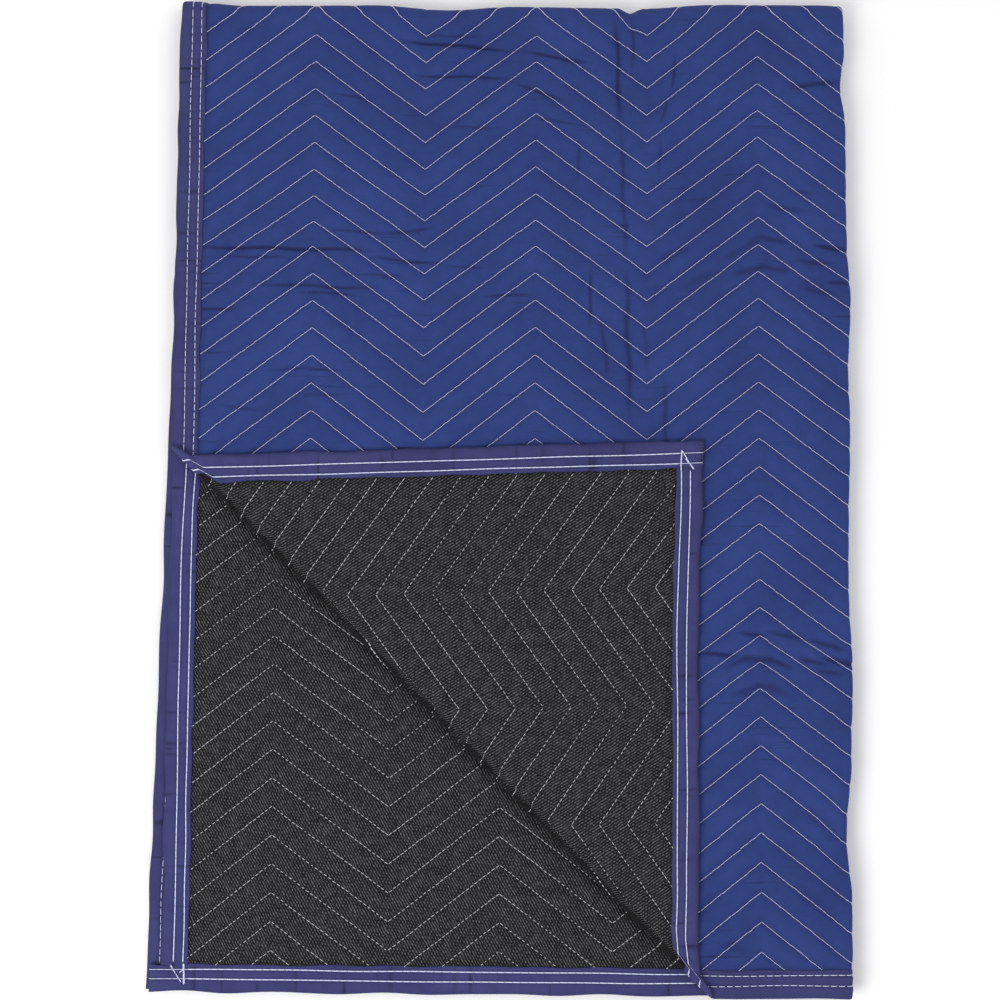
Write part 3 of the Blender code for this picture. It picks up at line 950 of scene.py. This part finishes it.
# Strokes of a corner's bartack as stitch starts and ends: each stroke is three stitches long and three
# threads wide.
def bartackStitches(corner, covering, covered):
    point = np.array(outline[corner])
    back = -sideLine(covering)[1]
    on = sideLine(covered)[1]
    starts = []
    ends = []
    parts = 3
    for first, last in bartacks.get(corner, bartacks["lowLeft"]):
        for thread in range(3):
            low = point + first[0] * back + first[1] * on + rng.normal(0, 0.00042, 2)
            high = point + last[0] * back + last[1] * on + rng.normal(0, 0.00042, 2)
            bow = rng.normal(0, 0.00018, (parts + 1, 2))
            path = low + (high - low) * np.linspace(0, 1, parts + 1)[:, None] + bow
            starts.extend(path[:-1])
            ends.extend(path[1:])
    return np.array(starts), np.array(ends)


def makeBindingThread():
    print("binding thread")
    made = []
    corners = (
        ("lowLeft", "left", "bottom"),
        ("lowRight", "bottom", "rightLow"),
        ("highRight", "rightHigh", "top"),
        ("highLeft", "top", "left"),
    )
    for side, height, sign, dash, fill, thick, dip in (
        ("Blue", tapeTop, 1, 0.0071, 0.92, 0.00078, 0.40),
        ("Dark", tapeUnder, -1, 0.0070, 1.05, 0.00120, 0.12),
    ):
        starts = []
        ends = []
        thicks = []
        sunk = []
        for index, name in enumerate(sideNames):
            first, second, wide = bindingStitches(name, dash, fill, thick, 30 + 2 * index)
            starts.append(first)
            ends.append(second)
            thicks.append(wide)
            sunk.append(np.zeros(len(first)))
        for corner, covering, covered in corners:
            first, second = bartackStitches(corner, covering, covered)
            starts.append(first)
            ends.append(second)
            thicks.append(np.full(len(first), 0.00090))
            sunk.append(np.full(len(first), -0.00055))
        piece = makeStitches(
            "bindingThread" + side, np.concatenate(starts), np.concatenate(ends), height, sign,
            np.concatenate(thicks), 0.00035, dip, 4, np.concatenate(sunk),
        )
        made.append(piece)
    return made


# Materials

def newMaterial(name, roughness):
    material = bpy.data.materials.new(name)
    material.use_nodes = True
    shader = material.node_tree.nodes["Principled BSDF"]
    shader.inputs["Roughness"].default_value = roughness
    shader.inputs["Specular IOR Level"].default_value = 0.20
    return material, material.node_tree, shader


# Flat place of the cloth in metres, turned and then scaled
def flatPlace(tree, scale=(1, 1), turn=0.0):
    place = tree.nodes.new("ShaderNodeUVMap")
    place.uv_map = "flat"
    mapping = tree.nodes.new("ShaderNodeMapping")
    mapping.inputs["Scale"].default_value = (scale[0], scale[1], 1)
    mapping.inputs["Rotation"].default_value = (0, 0, turn)
    tree.links.new(place.outputs["UV"], mapping.inputs["Vector"])
    return mapping.outputs["Vector"]


def axesOf(tree, place):
    split = tree.nodes.new("ShaderNodeSeparateXYZ")
    tree.links.new(place, split.inputs["Vector"])
    return split.outputs["X"], split.outputs["Y"]


def mixColors(tree, share, dark, light):
    mix = tree.nodes.new("ShaderNodeMix")
    mix.data_type = "RGBA"
    for index, value in ((6, dark), (7, light)):
        if isinstance(value, tuple):
            mix.inputs[index].default_value = (*value, 1)
        else:
            tree.links.new(value, mix.inputs[index])
    tree.links.new(share, mix.inputs["Factor"])
    return mix.outputs[2]


def addBump(tree, shader, height, strength, distance):
    bump = tree.nodes.new("ShaderNodeBump")
    bump.inputs["Strength"].default_value = strength
    bump.inputs["Distance"].default_value = distance
    tree.links.new(height, bump.inputs["Height"])
    tree.links.new(bump.outputs["Normal"], shader.inputs["Normal"])


def noise(tree, vector, scale, detail):
    node = tree.nodes.new("ShaderNodeTexNoise")
    node.inputs["Scale"].default_value = scale
    node.inputs["Detail"].default_value = detail
    tree.links.new(vector, node.inputs["Vector"])
    return node.outputs["Fac"]


def calc(tree, operation, first, second=0.0):
    node = tree.nodes.new("ShaderNodeMath")
    node.operation = operation
    for index, value in enumerate((first, second)):
        if isinstance(value, (int, float)):
            node.inputs[index].default_value = value
        else:
            tree.links.new(value, node.inputs[index])
    return node.outputs["Value"]


def times(tree, first, second):
    return calc(tree, "MULTIPLY", first, second)


def plus(tree, first, second):
    return calc(tree, "ADD", first, second)


def ramp(tree, value, low, high):
    node = tree.nodes.new("ShaderNodeMapRange")
    node.inputs["From Min"].default_value = low
    node.inputs["From Max"].default_value = high
    tree.links.new(value, node.inputs["Value"])
    return node.outputs["Result"]


# Painted shade of a piece, read from its attribute: 0 for none and 1 for the deepest
def paintedShadeOf(tree):
    node = tree.nodes.new("ShaderNodeAttribute")
    node.attribute_name = "paintedShade"
    return node.outputs["Fac"]


# Sine of a place times a rate, from 0 to 1
def ripple(tree, place, rate):
    wave = calc(tree, "SINE", times(tree, place, 2 * math.pi * rate))
    return plus(tree, times(tree, wave, 0.5), 0.5)


# What a user would change in the finishes, colours in linear light; each crease colour is the darkest
# colour of the painted shade
finishes = {
    "face": {
        "dark": (0.0180, 0.0350, 0.1520),
        "light": (0.0255, 0.0480, 0.2020),
        "crease": (0.0070, 0.0120, 0.0620),
    },
    "tape": {
        "dark": (0.0290, 0.0330, 0.1180),
        "light": (0.0440, 0.0490, 0.1620),
        "crease": (0.0095, 0.0095, 0.0520),
    },
    "lining": {"dark": (0.0030, 0.0029, 0.0036), "light": (0.1900, 0.1850, 0.1945)},
    "threadsPerMetre": 1700,
    "ribPitch": 0.0023,
    "ribLean": 60,  # degrees from the width of the blanket
    "ribBreak": 0.0034,
}


# Woven cloth: warp and weft as fine ripples, small puckers drawn out along one direction, and a broad
# uneven colour, darker with painted shade where the shade attribute marks creases, grooves and edges, and in
# the puckers.
def wovenMaterial(name, colors, roughness, sheen, sheenTint, puckerScale, puckerShare):
    material, tree, shader = newMaterial(name, roughness)
    shader.inputs["Sheen Weight"].default_value = sheen
    shader.inputs["Sheen Roughness"].default_value = 0.55
    shader.inputs["Sheen Tint"].default_value = (*sheenTint, 1)
    place = flatPlace(tree)
    width, length = axesOf(tree, place)
    broad = noise(tree, place, 13, 3)
    middling = noise(tree, place, 90, 3)
    fine = noise(tree, place, 1100, 2)
    mottled = plus(tree, times(tree, broad, 1.0), times(tree, middling, 0.55))
    share = plus(tree, mottled, times(tree, fine, 0.45))
    plain = mixColors(tree, ramp(tree, share, 0.75, 1.25), colors["dark"], colors["light"])
    puckers = ramp(tree, noise(tree, flatPlace(tree, puckerScale), 1.0, 2), 0.60, 0.78)
    patches = ramp(tree, noise(tree, place, 16, 1), 0.48, 0.66)
    puckers = times(tree, times(tree, puckers, patches), puckerShare)
    # Painted shade: the attribute's shade and the puckers darken the colour towards the crease colour
    dark = calc(tree, "MINIMUM", plus(tree, times(tree, paintedShadeOf(tree), 0.85), puckers), 1.0)
    tree.links.new(mixColors(tree, dark, plain, colors["crease"]), shader.inputs["Base Color"])
    rate = finishes["threadsPerMetre"]
    weave = times(tree, ripple(tree, width, rate), ripple(tree, length, rate))
    weave = plus(tree, times(tree, weave, 0.10), times(tree, fine, 0.10))
    soft = plus(tree, weave, times(tree, middling, 0.5))
    addBump(tree, shader, calc(tree, "SUBTRACT", soft, puckers), 0.8, 0.0011)
    return material


# Lining: a coarse knit. Slanting ribs of pale yarn on a near-black ground, each broken into short strokes
# that stand half a stroke further along from rib to rib, brighter in some places than in others.
def liningMaterial():
    colors = finishes["lining"]
    material, tree, shader = newMaterial("charcoalKnit", 0.92)
    lean = math.radians(finishes["ribLean"])
    pitch = finishes["ribPitch"]
    place = flatPlace(tree)
    width, length = axesOf(tree, place)
    drift = times(tree, calc(tree, "SUBTRACT", noise(tree, place, 120, 2), 0.5), 0.0022)
    across = calc(tree, "SUBTRACT", times(tree, width, math.sin(lean)), times(tree, length, math.cos(lean)))
    along = plus(tree, times(tree, width, math.cos(lean)), times(tree, length, math.sin(lean)))
    across = plus(tree, across, drift)
    ribs = ripple(tree, across, 1 / pitch)
    halfSteps = times(tree, across, 0.5 * finishes["ribBreak"] / pitch)
    breaks = ripple(tree, plus(tree, along, halfSteps), 1 / finishes["ribBreak"])
    broken = ramp(tree, noise(tree, place, 110, 1), 0.20, 0.60)
    strokes = calc(tree, "SUBTRACT", 1.0, times(tree, times(tree, breaks, 0.95), broken))
    yarn = times(tree, calc(tree, "POWER", ribs, 2.2), strokes)
    bright = ramp(tree, noise(tree, place, 480, 1), 0.22, 0.70)
    patch = plus(tree, times(tree, noise(tree, place, 25, 2), 0.3), 0.9)
    fleck = times(tree, times(tree, yarn, bright), patch)
    # Painted shade from the attribute darkens the yarn
    fleck = times(tree, fleck, calc(tree, "SUBTRACT", 1.0, times(tree, paintedShadeOf(tree), 0.9)))
    tree.links.new(mixColors(tree, fleck, colors["dark"], colors["light"]), shader.inputs["Base Color"])
    addBump(tree, shader, yarn, 0.6, 0.0007)
    return material


# Thread: twisted plies as slanted bands along each stitch.
def threadMaterial(name, dark, light):
    material, tree, shader = newMaterial(name, 0.55)
    place = flatPlace(tree, (2.5, 2.0), 0.6)
    width, _ = axesOf(tree, place)
    plies = ripple(tree, width, 2.0)
    tree.links.new(mixColors(tree, plies, dark, light), shader.inputs["Base Color"])
    addBump(tree, shader, plies, 0.3, 0.0002)
    return material


def setMaterial(piece, material):
    piece.data.materials.clear()
    piece.data.materials.append(material)


# Camera: nearly straight down, from a little in front, as in the photograph.
cameraSettings = {
    "tilt": 0.084,
    "turn": 0.00539,
    "distance": 1.8288,
    "focalPixels": 2024.0,
    "aim": (-0.0026, -0.0098, 0.0226),
}


def makeCamera():
    settings = cameraSettings
    data = bpy.data.cameras.new("camera")
    data.sensor_width = 36
    data.lens = settings["focalPixels"] / 1000 * data.sensor_width
    camera = bpy.data.objects.new("camera", data)
    tilt = settings["tilt"]
    turn = settings["turn"]
    back = Vector((math.sin(tilt) * math.sin(turn), -math.sin(tilt) * math.cos(turn), math.cos(tilt)))
    camera.location = Vector(settings["aim"]) + settings["distance"] * back
    camera.rotation_euler = (tilt, 0, turn)
    bpy.context.scene.collection.objects.link(camera)
    bpy.context.scene.camera = camera


# Light: a pale floor, an even pale world and two broad lamps, the stronger from the lower left.
lightSettings = {
    "world": 0.66,
    "floor": (0.94, 0.94, 0.94),
    "lamps": [
        {"name": "keyLamp", "at": (-1.35, -1.15, 1.9), "size": 1.3, "power": 38},
        {"name": "fillLamp", "at": (1.3, 0.9, 2.3), "size": 2.0, "power": 14},
    ],
}


def makeStage():
    bpy.ops.mesh.primitive_plane_add(size=12, location=(0, 0, 0))
    floor = bpy.context.object
    floor.name = "floor"
    material, _, shader = newMaterial("paleFloor", 0.9)
    shader.inputs["Base Color"].default_value = (*lightSettings["floor"], 1)
    setMaterial(floor, material)
    world = bpy.data.worlds.new("studio")
    world.use_nodes = True
    world.node_tree.nodes["Background"].inputs["Color"].default_value = (1, 1, 1, 1)
    world.node_tree.nodes["Background"].inputs["Strength"].default_value = lightSettings["world"]
    bpy.context.scene.world = world
    bpy.context.scene.view_settings.view_transform = "Standard"
    for lamp in lightSettings["lamps"]:
        data = bpy.data.lights.new(lamp["name"], "AREA")
        data.size = lamp["size"]
        data.energy = lamp["power"]
        light = bpy.data.objects.new(lamp["name"], data)
        light.location = lamp["at"]
        light.rotation_euler = (-Vector(lamp["at"])).to_track_quat("-Z", "Y").to_euler()
        bpy.context.scene.collection.objects.link(light)


print("camera and stage")
makeCamera()
makeStage()

faceCloth = makeFaceCloth()
navyCloth = wovenMaterial("navyCloth", finishes["face"], 0.80, 0.12, (0.28, 0.26, 0.60), (14, 260), 0.70)
setMaterial(faceCloth, navyCloth)
lining = makeLining()
setMaterial(lining, liningMaterial())

print("bindings")
tape = wovenMaterial("violetTape", finishes["tape"], 0.74, 0.10, (0.30, 0.24, 0.55), (120, 300), 0.20)
bindings = [
    makeBinding("bindingBottom", ["bottom"], "binding_bottom", 41),
    makeBinding("bindingRight", ["rightLow", "rightHigh"], "binding_right", 51),
    makeBinding("bindingTop", ["top"], "binding_top", 61),
    makeBinding("bindingLeft", ["left"], "binding_left", 71),
]
for piece in bindings:
    setMaterial(piece, tape)

paleThread = threadMaterial("paleThread", (0.52, 0.57, 0.84), (0.76, 0.81, 1.00))
greyThread = threadMaterial("greyThread", (0.42, 0.42, 0.44), (0.68, 0.68, 0.70))
quiltingThread = makeQuiltingThread()
bindingThread = makeBindingThread()
for piece in quiltingThread[:2] + bindingThread:
    setMaterial(piece, paleThread)
setMaterial(quiltingThread[2], greyThread)

for piece in [faceCloth, lining] + bindings + quiltingThread + bindingThread:
    print(piece.name, sum(len(face.vertices) - 2 for face in piece.data.polygons), "triangles")
